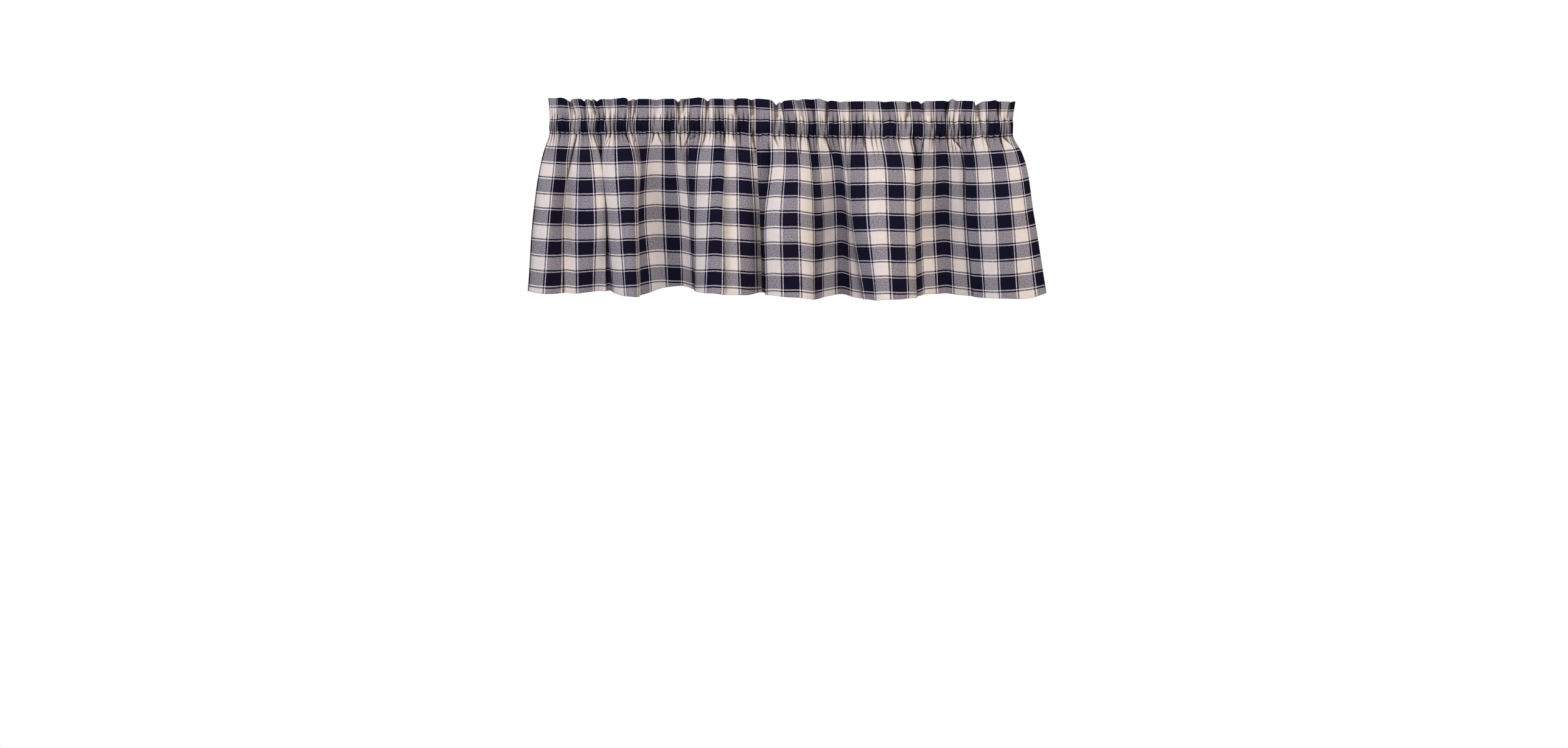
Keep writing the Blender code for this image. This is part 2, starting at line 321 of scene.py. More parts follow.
# The mesh of each width
COLUMN_STEP = 1.6  # along the flat cloth
SKIRT_STEP = 7.0
FINE_STEP = 2.3  # in the header, the pocket and just under it
FINE_END = LOWER_ROW + 30.0  # down to the end of those finer rows
TURN_STEP = 4.0
FOLLOW_STEP = 1.5  # down the cloth, where its hang is worked out
LONGEST_DROP = 366.0  # a little past the longest hem
LEAST_FALL = 0.5  # share of each step that still goes down where the cloth leans most
# For the painted crease shade: how near the cloth lies that shuts a place in, and how far the place lies
# behind it at most
HOLLOWS = ((5.0, 1.6), (18.0, 9.0))
TURN_PITCH = 0.9  # between a turned hem and the cloth it lies on
TURN_END, TURN_PARTWAY = 1.2, 0.5  # from a turned edge to the ends of its bend, and partway there
TOP_END, TOP_PARTWAY = 1.0, 0.25  # the same from the top fold
UNDER_STEP = 2.0  # along the left width's seam allowance
UNDER_LAYERS = 2.0  # that allowance lies this many layers behind the face
STITCH_LIFT = 0.3  # of a stitch above the middle of the cloth
STITCH_DIP = 0.25  # of its ends below its middle, as a share of its thickness
STITCH_FLAT = 0.7  # its height as a share of its width
STITCH_GAP = 0.25  # share of a stitch's length that is hidden in the cloth
ROW_INSET = 1.0  # from the cloth's edge to the first stitch of a row

# Each width's place along the cloth and in the woven check: `stripe` and `band` say where a navy one
# starts. The sewing drew the check up by `top`, `upper` and `lower` at the top edge and at the rows of
# stitching.
Width = namedtuple("Width", "name start end stripe band top upper lower")
LEFT = Width("left", 0.0, SEAM, 34.8, -10.0, -1.0, -2.75, -0.5)
RIGHT = Width("right", SEAM, RIGHT_END, 596.0, -7.0, -3.0, 1.0, 2.1)


def smooth(knots, values, at):
    """The smooth curve through the values at the knots, read at the given places."""
    knots = np.asarray(knots, float)
    values = np.asarray(values, float)
    slopes = np.gradient(values, knots, axis=0)
    start = np.clip(np.searchsorted(knots, at, side="right") - 1, 0, len(knots) - 2)
    span = knots[start + 1] - knots[start]
    share = (at - knots[start]) / span
    if values.ndim > 1:
        span = span[:, None]
        share = share[:, None]
    return (
        values[start] * (1 + 2 * share) * (1 - share) ** 2
        + values[start + 1] * share**2 * (3 - 2 * share)
        + slopes[start] * span * share * (1 - share) ** 2
        - slopes[start + 1] * span * share**2 * (1 - share)
    )


def fold_values(field, across, table=FOLDS):
    """One column of the folds' table, as a smooth curve along the cloth."""
    return smooth([row.across for row in table], [getattr(row, field) for row in table], across)


def eased(depth, deepest):
    """A depth that levels out softly toward the deepest one."""
    return deepest * np.tanh(depth / deepest)


def header_valleys(across, down):
    """How far the header's valleys move the cloth: sideways, back and up, as one array."""
    fall = np.clip(down / UPPER_ROW, 0.0, 1.0)
    left = 1.0 - (1.0 - VALLEY_AT_STITCH) * fall
    left = left * np.clip(1.0 - (down - UPPER_ROW) / POCKET, 0.0, 1.0)
    moved = np.zeros((3, len(down), len(across)))
    for valley in VALLEYS:
        off = np.abs(across - valley.across - valley.slant * fall) / valley.half_width
        notch = np.exp(-(off**VALLEY_WALLS)) * left
        moved[0] += valley.tuck * notch
        back = eased(VALLEY_DEPTH * valley.back, DEEPEST_VALLEY)
        moved[1] += back * np.exp(-(off**VALLEY_FLOOR)) * left
        moved[2] -= valley.dip * notch * (1.0 - fall) ** 2
    return moved


def gathers(across, down):
    """The small waves that the drawn-up stitching leaves in the cloth."""
    above = np.clip(down / UPPER_ROW, GATHER_AT_TOP, 1.0)
    below = np.clip(1.0 - (down - LOWER_ROW) / GATHER_FADE, 0.0, 1.0)
    wave = np.sin(2 * np.pi * across / GATHER_PITCH)
    return GATHER_DEPTH * wave * above * below


def wander(across, shortest, longest, seed):
    """A smooth seeded wave along the cloth, mostly between -1 and 1."""
    random = np.random.default_rng(seed)
    lengths = np.geomspace(shortest, longest, WAVES)
    phases = random.uniform(0, 2 * np.pi, len(lengths))
    waves = [np.sin(2 * np.pi * across / length + start) for length, start in zip(lengths, phases)]
    return sum(waves) / np.sqrt(len(waves))


def creases(across, seed, pitch=PUCKER_PITCH):
    """The puckers along one row of stitching: 0 on their crests and 1 in their creases."""
    phase = np.pi * across / pitch + PUCKER_WANDER * wander(across, 3 * pitch, 12 * pitch, seed)
    return 1.0 - np.abs(np.sin(phase)) ** PUCKER_POINT


def puckers(across, down):
    """Depth of the small puckers, which die out above and below the two rows of stitching."""
    drawn_in = np.clip(np.gradient(fold_values("rod", across), across), TIGHTEST, SLACKEST)
    depth = PUCKER_SHARE * PUCKER_PITCH / 2 * np.sqrt(1 - drawn_in**2)
    depth = depth * (PUCKER_MEAN + PUCKER_SWING * wander(across, 60, 300, seed=5))
    share = np.clip((down - UPPER_ROW) / POCKET, 0.0, 1.0)
    between = creases(across, seed=11) * (1 - share) + creases(across, seed=23) * share
    reach = PUCKER_FADE_DOWN * (1.0 + FADE_SWING * wander(across, 25, 90, seed=31))
    above = np.exp(-np.maximum(UPPER_ROW - down, 0.0) / PUCKER_FADE_UP)
    below = np.exp(-np.maximum(down - LOWER_ROW, 0.0) / np.maximum(reach, FADE_LEAST))
    calm = 1.0 - PUCKER_CALM * np.sin(np.pi * share)
    fine = np.zeros((len(down), len(across)))
    for row, seed in ((UPPER_ROW, 61), (LOWER_ROW, 67)):
        uneven = np.clip(FINE_MEAN + FINE_SWING * wander(across, 20, 120, seed + 1), 0.0, FINE_MOST)
        near = np.exp(-np.abs(down - row) / FINE_FADE)
        fine += uneven * (creases(across, seed, FINE_PITCH) - PUCKER_LEVEL) * near
    return depth * (between - PUCKER_LEVEL) * above * below * calm + FINE_DEPTH * fine


def stitch_wave(across, down):
    """How far the puckers push the cloth up or down."""
    from_upper, from_lower = np.abs(down - UPPER_ROW), np.abs(down - LOWER_ROW)
    upper = wander(across, 14, 60, seed=41) * np.exp(-from_upper / UPPER_WAVE_FADE)
    lower = wander(across, 14, 60, seed=43) * np.exp(-from_lower / LOWER_WAVE_FADE)
    hanging = (creases(across, seed=23) - PUCKER_LEVEL) * np.exp(-from_lower / SCALLOP_FADE)
    return STITCH_WAVE * (upper + lower) + SCALLOP * hanging


def placed_creases(across, down):
    """Depth of the listed creases."""
    depth = np.zeros((len(down), len(across)))
    for crease in CREASES:
        run = np.array([crease.to_across - crease.across, crease.to_down - crease.down], float)
        off_across = across - crease.across
        off_down = down - crease.down
        share = np.clip((off_across * run[0] + off_down * run[1]) / (run @ run), 0.0, 1.0)
        off = np.hypot(off_across - share * run[0], off_down - share * run[1])
        deep = CREASE_DEPTH * crease.deep * (1.0 - (1.0 - CREASE_AT_END) * share)
        depth += deep * np.exp(-((off / crease.width) ** CREASE_FLOOR))
    return eased(depth, DEEPEST_CREASE)


def lips(across, down):
    """How far the cloth is moved behind the lips of its crests: sideways and back."""
    moved = np.zeros((2, len(down), len(across)))
    for lip in LIPS:
        share = np.clip((down - lip.down) / (LIP_END - lip.down), 0.0, 1.0)
        line = lip.across + share * (lip.to_across - lip.across)
        behind = (across - line) * np.sign(lip.reach)
        dive = np.clip(behind / LIP_WALL, 0.0, 1.0)
        dive = np.clip((down - lip.down) / LIP_FADE, 0.0, 1.0) * dive**2 * (3 - 2 * dive)
        past = np.maximum(behind - LIP_WALL, 0.0)
        moved[0] -= np.sign(lip.reach) * LIP_UNDER * dive * np.exp(-past / LIP_OUT)
        moved[1] += lip.deep * dive * np.exp(-past / abs(lip.reach))
    return moved


def hung_cloth(across):
    """The front layer: its points [down, across, xyz], and the directions out of its back there."""
    down = np.arange(0.0, LONGEST_DROP + FOLLOW_STEP, FOLLOW_STEP)
    rod = fold_values("rod", across)
    x_stations = [fold_values("head", across), rod, rod]
    x_stations += [fold_values(field, across) for field in ("high", "mid", "low")]
    x = smooth(STATIONS, x_stations, down)

    y_mid = fold_values("y_mid", across)
    flat = np.zeros_like(across)
    y_stations = [flat + HEADER_LEAN, flat, flat, HIGH_SHARE * y_mid, y_mid, fold_values("y_low", across)]
    y = smooth(STATIONS, y_stations, down)
    rows = down[:, None]
    y += gathers(across, rows)

    fall_squared = FOLLOW_STEP**2 - np.diff(x, axis=0) ** 2 - np.diff(y, axis=0) ** 2
    steps = np.sqrt(np.maximum(fall_squared, (LEAST_FALL * FOLLOW_STEP) ** 2))
    top, upper, lower = (fold_values(field, across, DRAWN) for field in ("top", "upper", "lower"))
    middles = (down[:-1] + down[1:]) / 2
    steps[middles < UPPER_ROW] = FOLLOW_STEP * (top - upper) / UPPER_ROW
    in_pocket = (middles > UPPER_ROW) & (middles < LOWER_ROW)
    steps[in_pocket] = FOLLOW_STEP * (upper - lower) / POCKET
    z = np.vstack([top, top - np.cumsum(steps, axis=0)])

    sideways, back = lips(across, rows)
    x += sideways
    y += puckers(across, rows) + placed_creases(across, rows) + back
    z += stitch_wave(across, rows)
    points = np.stack([x, y, z], axis=-1) + np.moveaxis(header_valleys(across, rows), 0, -1)
    backs = np.cross(np.gradient(points, across, axis=1), np.gradient(points, FOLLOW_STEP, axis=0))
    backs /= np.linalg.norm(backs, axis=-1, keepdims=True)
    return points, backs


def running_mean(values, reach):
    """The values along their last axis, each averaged with its neighbours within the reach."""
    padded = np.pad(values, [(0, 0)] * (values.ndim - 1) + [(reach + 1, reach)], mode="edge")
    total = np.cumsum(padded, axis=-1)
    width = 2 * reach + 1
    return (total[..., width:] - total[..., :-width]) / width


def hollows(surface):
    """How deep in a crease or dip each place of the sheet's face lies, from 0 to 1: the depth that the
    cotton's painted crease shade follows.
    """
    depth = surface[..., 1]
    deepest = np.zeros_like(depth)
    for reach, deep in HOLLOWS:
        near = running_mean(depth, round(reach / COLUMN_STEP))
        near = running_mean(near.T, round(reach / FINE_STEP / 2)).T
        deepest = np.maximum(deepest, (depth - near) / deep)
    return np.clip(deepest, 0.0, 1.0)


def read_cloth(cloth, down, columns):
    """The hung cloth's points and back directions at a place down each of the given columns."""
    place = np.clip(down / FOLLOW_STEP, 0, len(cloth[0]) - 1.001)  # always before the last row
    low = place.astype(int)
    share = (place - low)[..., None]
    return [grid[low, columns] * (1 - share) + grid[low + 1, columns] * share for grid in cloth]


def steps_between(start, end, step):
    """Evenly spaced places from start to end, both included, about a step apart."""
    return np.linspace(start, end, max(2, round(abs(end - start) / step) + 1))


def turned_edge(length):
    """Distances from an edge and turns there: along the turned part, round the bend, onto the face."""
    hidden = [(place, 1.0) for place in steps_between(length, TURN_END, TURN_STEP)]
    return [*hidden, (TURN_PARTWAY, 0.85), (0.0, 0.5), (TURN_PARTWAY, 0.15), (TURN_END, 0.0)]


# A row lies `down` the cloth, plus a `share` of the skirt below its finer rows. It is `turned` onto the
# back of the skirt, and `layer` and `bulge` place it in the header and the pocket.
Row = namedtuple("Row", "down share turned layer bulge", defaults=(0.0, 0.0, 0.0, 0.0))


def sheet_rows(hem_turn):
    """The rows of one folded sheet, from the edge of its turned-up hem to its tail."""
    pocket_shares = steps_between(0.0, 1.0, FINE_STEP / POCKET)
    pocket = [(LOWER_ROW - u * POCKET, 4 * u * (1 - u)) for u in pocket_shares]
    header = list(steps_between(UPPER_ROW, TOP_END, FINE_STEP))[1:]
    top = ((TOP_PARTWAY, 0.15), (0.0, 0.5), (TOP_PARTWAY, 0.85))
    rows = [Row(FINE_END - place, share=1.0, turned=turn) for place, turn in turned_edge(hem_turn)]
    skirt = steps_between(1.0, 0.0, SKIRT_STEP / (FOLDS[0].hem - FINE_END))[1:]
    rows += [Row(FINE_END, share=share) for share in skirt]
    rows += [Row(place) for place in steps_between(FINE_END, LOWER_ROW, FINE_STEP)[1:]]
    rows += [Row(place, bulge=-bulge) for place, bulge in pocket[1:]]
    rows += [Row(place) for place in header]
    rows += [Row(place, layer=layer) for place, layer in top]
    rows += [Row(place, layer=1.0) for place in reversed(header[::2])]
    rows += [Row(place, layer=1.0, bulge=bulge) for place, bulge in reversed(pocket[::2])]
    tail = steps_between(LOWER_ROW, LOWER_ROW + TAIL, TURN_STEP)[1:]
    rows += [Row(place, layer=1.0) for place in tail]
    return rows


def sheet_columns(width, side_turn, allowance):
    """The columns of one sheet: places across the cloth, and how many layers back each one lies."""
    side = turned_edge(side_turn)
    if width is LEFT:
        start = [(width.start + place, turn) for place, turn in side]
        under = steps_between(0.0, allowance, UNDER_STEP)
        end = [(width.end + place, min(place, UNDER_LAYERS)) for place in under]
    else:
        start = [(width.start + place, turn) for place, turn in turned_edge(allowance)]
        end = [(width.end - place, turn) for place, turn in reversed(side)]
    middle = [(place, 0.0) for place in steps_between(start[-1][0], end[0][0], COLUMN_STEP)[1:-1]]
    across, layers = np.array([*start, *middle, *end]).T
    return across, layers


def sheet_surface(width, side_turn, allowance, hem_turn):
    """Points and check places of one folded sheet, as arrays [row, column, ...] in mm."""
    across, turned = sheet_columns(width, side_turn, allowance)
    places, columns = np.unique(across, return_inverse=True)
    cloth = hung_cloth(places)
    skirt = fold_values("hem", across) - FINE_END
    surface = []
    check = []
    for row in sheet_rows(hem_turn):
        down = row.down + row.share * skirt
        spot, back = read_cloth(cloth, down, columns)
        facing = np.maximum(np.abs(back[:, 1]), STEEPEST)
        inward = -1.0 if row.layer > 0.5 else 1.0
        spot = spot + back * (TURN_PITCH * (row.turned + inward * turned))[:, None]
        spot[:, 1] += row.layer * LAYER_PITCH / facing + row.bulge * POCKET_BULGE
        surface.append(spot)
        drawn_up = (width.top, width.upper, width.lower, 0.0)
        drawn = np.interp(down, (0.0, UPPER_ROW, LOWER_ROW, FINE_END), drawn_up)
        check.append(np.stack([across - width.stripe, down - width.band + drawn], axis=-1))
    return np.array(surface), np.array(check)


# ---- Finishes ----

NAVY = "#0B081F"
CREAM = "#D9CDC8"
NAVY_THREAD = "#17162A"
PALE_FLOOR = "#F4F4F2"
KEY_TINT = "#FFFFFF"
COOL_TINT = "#EEF4FF"
WARM_TINT = "#FFF0DA"
SKY_TINT = "#C9D6F0"
PAINTED_CREASE_SHADE = "#7C6C5A"  # painted shade: darkens and browns the bottoms of the creases, by how deep they lie
HEATHER_TINT = "#D6DAEC"  # crossed yarns shade each other, which leaves them darker and bluer

# The stripes in one repeat of the check: where each starts, and how pale it leaves a crossing, from 0
# to 1. The thin lines are of doubled yarn, so they show more.
Stripe = namedtuple("Stripe", "name along down pale")
BROAD_NAVY, BROAD_CREAM = 0.25, 0.75
WARP_REPEAT = 65.3
WEFT_REPEAT = 54.4
STRIPES = (
    Stripe("broad navy", 0.0, 0.0, BROAD_NAVY),
    Stripe("thin cream", 28.4, 23.0, 0.95),
    Stripe("thin navy", 30.5, 25.1, 0.12),
    Stripe("broad cream", 33.3, 27.7, BROAD_CREAM),
    Stripe("thin navy", 60.4, 49.7, 0.12),
    Stripe("thin cream", 63.2, 52.3, 0.95),
)

# Uneven yarn, in patches a millimetre across the cloth and down it
WARP_UNEVEN = (0.9, 0.06)
WEFT_UNEVEN = (0.06, 0.9)
SLUBS = (0.5, 0.8)
THREAD_DRIFT = 1.0  # how far the threads wander from straight lines
DRIFT_SCALE = 0.35  # wanderings in a millimetre
LEAST_CROSSED = 0.25  # difference in paleness that counts as crossed
TWIST_SCALE = 900.0  # lays the sewing thread's twists about 0.7 mm apart
STIPPLE_SCALE = 400.0  # lays the floor's dots about 2.5 mm apart

# Node settings. A Mix takes its share at input 0, its numbers at 2 and 3 and its colours at 6 and 7.
BLENDED = {"data_type": "RGBA"}
TINTED = {"data_type": "RGBA", "blend_type": "MULTIPLY"}
TIMES = {"operation": "MULTIPLY"}


def linear(code):
    """An sRGB hex colour as linear red, green and blue."""
    channels = [int(code[place : place + 2], 16) / 255 for place in (1, 3, 5)]
    return [c / 12.92 if c <= 0.04045 else ((c + 0.055) / 1.055) ** 2.4 for c in channels]


def feed(tree, node, inputs):
    """Gives each named or numbered input of a node a value or a link."""
    for socket, value in inputs.items():
        if isinstance(value, bpy.types.NodeSocket):
            tree.links.new(value, node.inputs[socket])
        else:
            node.inputs[socket].default_value = value


def add_node(tree, kind, settings=None, inputs=None):
    """Adds a shader node with its settings, its values and its links."""
    node = tree.nodes.new("ShaderNode" + kind)
    for name, value in (settings or {}).items():
        setattr(node, name, value)
    feed(tree, node, inputs or {})
    return node


def new_material(name):
    """An empty material with a Principled shader on its output."""
    material = bpy.data.materials.new(name)
    material.use_nodes = True
    tree = material.node_tree
    return material, tree, tree.nodes["Principled BSDF"]


def stripe_ramp(tree, place, repeat, field):
    """How pale the yarns are at a place across the check: constant steps along one repeat."""
    turn = add_node(tree, "Math", {"operation": "DIVIDE"}, {0: place, 1: repeat})
    share = add_node(tree, "Math", {"operation": "FRACT"}, {0: turn.outputs[0]})
    ramp = add_node(tree, "ValToRGB", None, {"Fac": share.outputs[0]})
    ramp.color_ramp.interpolation = "CONSTANT"
    elements = ramp.color_ramp.elements
    elements.remove(elements[1])
    for number, stripe in enumerate(STRIPES):
        start = getattr(stripe, field) / repeat
        element = elements[0] if number == 0 else elements.new(start)
        element.position = start
        element.color = (stripe.pale, stripe.pale, stripe.pale, 1.0)
    return ramp.outputs["Color"]


def thread_wave(tree, place, spacing):
    """A rounded wave across the threads: 1 over the middle of every other thread, -1 between."""
    turns = add_node(tree, "Math", TIMES, {0: place, 1: np.pi / spacing})
    return add_node(tree, "Math", {"operation": "SINE"}, {0: turns.outputs[0]}).outputs[0]


def yarn_noise(tree, place, patches, detail):
    """Uneven yarn: noise with so many patches a millimetre each way on the cloth, from 0 to 1."""
    scaled = add_node(tree, "VectorMath", TIMES, {0: place, 1: (*patches, 1.0)})
    noise = add_node(
        tree, "TexNoise", {"noise_dimensions": "2D"},
        {"Vector": scaled.outputs[0], "Scale": 1.0, "Detail": detail, "Roughness": 0.6},
    )
    return noise.outputs["Fac"]


def check_cotton(settings):
    """Yarn-dyed cotton in a plain weave: navy and cream yarns, which cross as a heathered grey, with
    shade painted into the bottoms of the creases.
    """
    material, tree, shader = new_material("Yarn-dyed plain weave cotton")
    place = add_node(tree, "UVMap", {"uv_map": "Flat cloth"}).outputs["UV"]
    axes = add_node(tree, "SeparateXYZ", None, {"Vector": place})
    across, down = axes.outputs["X"], axes.outputs["Y"]
    warp = stripe_ramp(tree, across, WARP_REPEAT, "along")
    weft = stripe_ramp(tree, down, WEFT_REPEAT, "down")

    spacing = settings.thread_spacing * TO_MM
    loose = add_node(
        tree, "TexNoise", {"noise_dimensions": "2D"},
        {"Vector": place, "Scale": DRIFT_SCALE, "Detail": 2.0},
    )
    drift = add_node(
        tree, "VectorMath", {"operation": "MULTIPLY_ADD"},
        {0: loose.outputs["Color"], 1: (THREAD_DRIFT, THREAD_DRIFT, 0.0), 2: place},
    )
    threads = add_node(tree, "SeparateXYZ", None, {"Vector": drift.outputs[0]})
    rows = thread_wave(tree, threads.outputs["Y"], spacing)
    crossing = add_node(
        tree, "Math", TIMES, {0: thread_wave(tree, threads.outputs["X"], spacing), 1: rows}
    )
    warp_yarn = yarn_noise(tree, place, WARP_UNEVEN, 2.0)
    weft_yarn = yarn_noise(tree, place, WEFT_UNEVEN, 2.0)
    slub = yarn_noise(tree, place, SLUBS, 1.0)
    lifted = add_node(
        tree, "Math", {"operation": "MULTIPLY_ADD"},
        {0: rows, 1: settings.weave_contrast, 2: 0.5 - settings.heather / 2},
    )
    on_top = add_node(
        tree, "Math", {"operation": "MULTIPLY_ADD", "use_clamp": True},
        {0: slub, 1: settings.heather, 2: lifted.outputs[0]},
    )
    shown = add_node(tree, "Mix", BLENDED, {0: on_top.outputs[0], 6: weft, 7: warp})
    pale = add_node(
        tree, "MapRange", None,
        {"Value": shown.outputs[2], "From Min": BROAD_NAVY, "From Max": BROAD_CREAM},
    )
    colour = add_node(
        tree, "Mix", BLENDED, {0: pale.outputs[0], 6: (*settings.navy, 1.0), 7: (*settings.cream, 1.0)}
    )
    apart = add_node(tree, "Math", {"operation": "SUBTRACT"}, {0: warp, 1: weft})
    gap = add_node(tree, "Math", {"operation": "ABSOLUTE"}, {0: apart.outputs[0]})
    crossed = add_node(
        tree, "MapRange", None,
        {"Value": gap.outputs[0], "From Min": LEAST_CROSSED, "From Max": BROAD_CREAM - BROAD_NAVY},
    )
    shaded = add_node(
        tree, "Mix", TINTED,
        {0: crossed.outputs[0], 6: colour.outputs[2], 7: (*linear(HEATHER_TINT), 1.0)},
    )
    uneven = add_node(tree, "Mix", {"data_type": "FLOAT"}, {0: 0.5, 2: warp_yarn, 3: weft_yarn})
    tone = add_node(
        tree, "MapRange", None,
        {"Value": uneven.outputs[0], "From Min": 0.3, "From Max": 0.7, "To Min": 0.9, "To Max": 1.06},
    )
    toned = add_node(tree, "Mix", TINTED, {0: 1.0, 6: shaded.outputs[2], 7: tone.outputs[0]})
    # painted shade: the colour is darkened and browned by how deep each place lies in its crease
    shade_mask = add_node(tree, "Attribute", {"attribute_name": "Hollow"})
    painted_shade = add_node(
        tree, "Mix", TINTED,
        {0: shade_mask.outputs["Fac"], 6: toned.outputs[2], 7: (*linear(PAINTED_CREASE_SHADE), 1.0)},
    )
    bump = add_node(
        tree, "Bump", None,
        {"Strength": 0.5, "Distance": settings.thread_relief, "Height": crossing.outputs[0]},
    )
    feed(tree, shader, {"Base Color": painted_shade.outputs[2], "Normal": bump.outputs["Normal"]})
    feed(tree, shader, {"Roughness": 0.82, "Specular IOR Level": 0.1})
    feed(tree, shader, {"Sheen Weight": 0.01, "Sheen Roughness": 0.5})
    return material


def sewing_thread(name, colour):
    """Spun polyester sewing thread: twisted, a little glossier than the cotton."""
    material, tree, shader = new_material(name)
    place = add_node(tree, "TexCoord").outputs["Object"]
    twist = add_node(
        tree, "TexWave", {"bands_direction": "DIAGONAL"},
        {"Vector": place, "Scale": TWIST_SCALE, "Distortion": 1.0},
    )
    tone = add_node(
        tree, "MapRange", None, {"Value": twist.outputs["Fac"], "To Min": 0.7, "To Max": 1.05}
    )
    toned = add_node(tree, "Mix", TINTED, {0: 1.0, 6: (*colour, 1.0), 7: tone.outputs[0]})
    feed(tree, shader, {"Base Color": toned.outputs[2], "Roughness": 0.55})
    return material


def matt_paint(name, colour):
    """White painted floor, lit evenly all over as in a studio: a faint roller stipple."""
    material, tree, shader = new_material(name)
    place = add_node(tree, "TexCoord").outputs["Object"]
    dots = {"Vector": place, "Scale": STIPPLE_SCALE, "Detail": 2.0}
    stipple = add_node(tree, "TexNoise", None, dots)
    bump = add_node(
        tree, "Bump", None, {"Strength": 0.1, "Distance": 0.0003, "Height": stipple.outputs["Fac"]}
    )
    seen = add_node(tree, "LightPath").outputs["Is Camera Ray"]
    glow = add_node(tree, "Math", TIMES, {0: seen, 1: FLOOR_GLOW})
    feed(tree, shader, {"Base Color": (*colour, 1.0), "Roughness": 0.9, "Normal": bump.outputs["Normal"]})
    feed(tree, shader, {"Emission Color": (1.0, 1.0, 1.0, 1.0), "Emission Strength": glow.outputs[0]})
    return material


# ---- Pieces ----


def deselect_all():
    """Leaves nothing selected, so that what is added next is alone."""
    bpy.ops.object.select_all(action="DESELECT")


def make_sheet(width, settings, material):
    """One cloth width: a grid laid along the folded sheet, with the flat cloth as its UV map."""
    side = settings.side_turn * TO_MM
    allowance = settings.seam_allowance * TO_MM
    hem = settings.hem_turn * TO_MM
    surface, check = sheet_surface(width, side, allowance, hem)
    rows, columns = surface.shape[:2]
    deselect_all()
    bpy.ops.mesh.primitive_grid_add(x_subdivisions=columns - 1, y_subdivisions=rows - 1, size=1.0)
    sheet = bpy.context.object
    sheet.name = sheet.data.name = f"check_cotton_{width.name}"
    mesh = sheet.data
    mesh.vertices.foreach_set("co", (surface * MM).ravel())
    # how deep each place lies in its crease, which the cotton's painted shade follows
    mesh.attributes.new("Hollow", "FLOAT", "POINT").data.foreach_set("value", hollows(surface).ravel())
    uv = mesh.uv_layers[0]
    uv.name = "Flat cloth"
    corners = np.empty(len(mesh.loops), int)
    mesh.loops.foreach_get("vertex_index", corners)
    uv.data.foreach_set("uv", check.reshape(-1, 2)[corners].ravel())
    mesh.materials.append(material)
    thickness = sheet.modifiers.new("Cloth thickness", "SOLIDIFY")
    thickness.thickness = settings.cloth_thickness
    thickness.offset = 0.0
    bpy.ops.object.modifier_apply(modifier=thickness.name)
    bpy.ops.object.shade_smooth()
    mesh.update()
    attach(sheet, "root")
    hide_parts(f"panel_{width.name}")
    return sheet


def along_cloth(down, start, end, step):
    """Points and back directions along one row of the cloth."""
    across = steps_between(start, end, step)
    return read_cloth(hung_cloth(across), np.full(len(across), down), np.arange(len(across)))


def down_cloth(across, start, end, step):
    """Points and back directions down one column of the cloth."""
    places = steps_between(start, end, step)
    cloth = hung_cloth(np.array([across - 1.0, across, across + 1.0]))
    return read_cloth(cloth, places, np.ones(len(places), int))


def one_stitch(material):
    """One stitch, a unit long and a unit across: a bead drawn out flat, which dips in at both ends."""
    deselect_all()
    bpy.ops.mesh.primitive_uv_sphere_add(segments=6, ring_count=5, radius=0.5)
    stitch = bpy.context.object
    bpy.ops.object.mode_set(mode="EDIT")
    bpy.ops.mesh.select_all(action="SELECT")
    bpy.ops.transform.rotate(value=np.pi / 2, orient_axis="Y", center_override=(0.0, 0.0, 0.0))
    bpy.ops.object.mode_set(mode="OBJECT")
    for vertex in stitch.data.vertices:
        vertex.co.z *= STITCH_FLAT
        vertex.co.z -= STITCH_DIP * (2 * vertex.co.x) ** 2
    stitch.data.materials.append(material)
    stitch.data.shade_smooth()
    return stitch


def stitch_row(name, line, settings, material):
    """A row of stitches on the cloth's face, one between each two places of the line, with a gap."""
    points, backs = line
    on_face = points - backs * STITCH_LIFT
    thickness = settings.thread_thickness * TO_MM
    stitch = one_stitch(material)
    copies = []
    for first, second, back in zip(on_face[:-1], on_face[1:], backs[:-1]):
        run = second - first
        length = np.linalg.norm(run)
        if length < thickness:
            continue
        ahead = run / length
        sideways = np.cross(back, ahead)
        out = np.cross(ahead, sideways)
        turned = np.eye(4)
        turned[:3, 0] = ahead * length * (1 - STITCH_GAP)
        turned[:3, 1] = sideways * thickness
        turned[:3, 2] = -out * thickness
        turned[:3, 3] = (first + second) / 2
        turned[:3] *= MM
        copy = bpy.data.objects.new(name, stitch.data.copy())
        copy.data.transform(Matrix(turned))
        bpy.context.scene.collection.objects.link(copy)
        copies.append(copy)
    bpy.data.objects.remove(stitch)
    deselect_all()
    for copy in copies:
        copy.select_set(True)
    bpy.context.view_layer.objects.active = copies[0]
    bpy.ops.object.join()
    row = bpy.context.object
    row.name = row.data.name = name
    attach(row, "root")
    return row


# ---- Stage ----

# The stage is given in metres.
FLOOR_SIZE = 2.6
LIGHT_SIZE = 1.3
FLOOR_GLOW = 0.7  # brings the floor up to the white of the surroundings
SENSOR_WIDTH = 36.0  # mm
VIEW_CENTRE = Vector((-0.0064, 0.0, -0.482))  # on the plane of the rod

# Where each light hangs, and which of the settings is its power
Light = namedtuple("Light", "name place power tint")
LIGHTS = (
    Light("key", (0.0, -2.2, 1.4), "key_power", KEY_TINT),
    Light("left fill", (-2.0, -1.3, 0.4), "fill_power", COOL_TINT),
    Light("right fill", (2.0, -1.3, 0.4), "fill_power", WARM_TINT),
    Light("back", (0.45, 2.3, 0.9), "back_power", KEY_TINT),
)


def make_floor(settings):
    """A pale floor below the hem."""
    deselect_all()
    height = CAD_LOW.z - settings.floor_drop
    bpy.ops.mesh.primitive_grid_add(x_subdivisions=8, y_subdivisions=8, size=FLOOR_SIZE)
    floor = bpy.context.object
    floor.name = floor.data.name = "floor"
    floor.data.transform(Matrix.Translation((CAD_MIDDLE.x, CAD_MIDDLE.y, height)))
    floor.data.materials.append(matt_paint("Matt white paint", linear(PALE_FLOOR)))


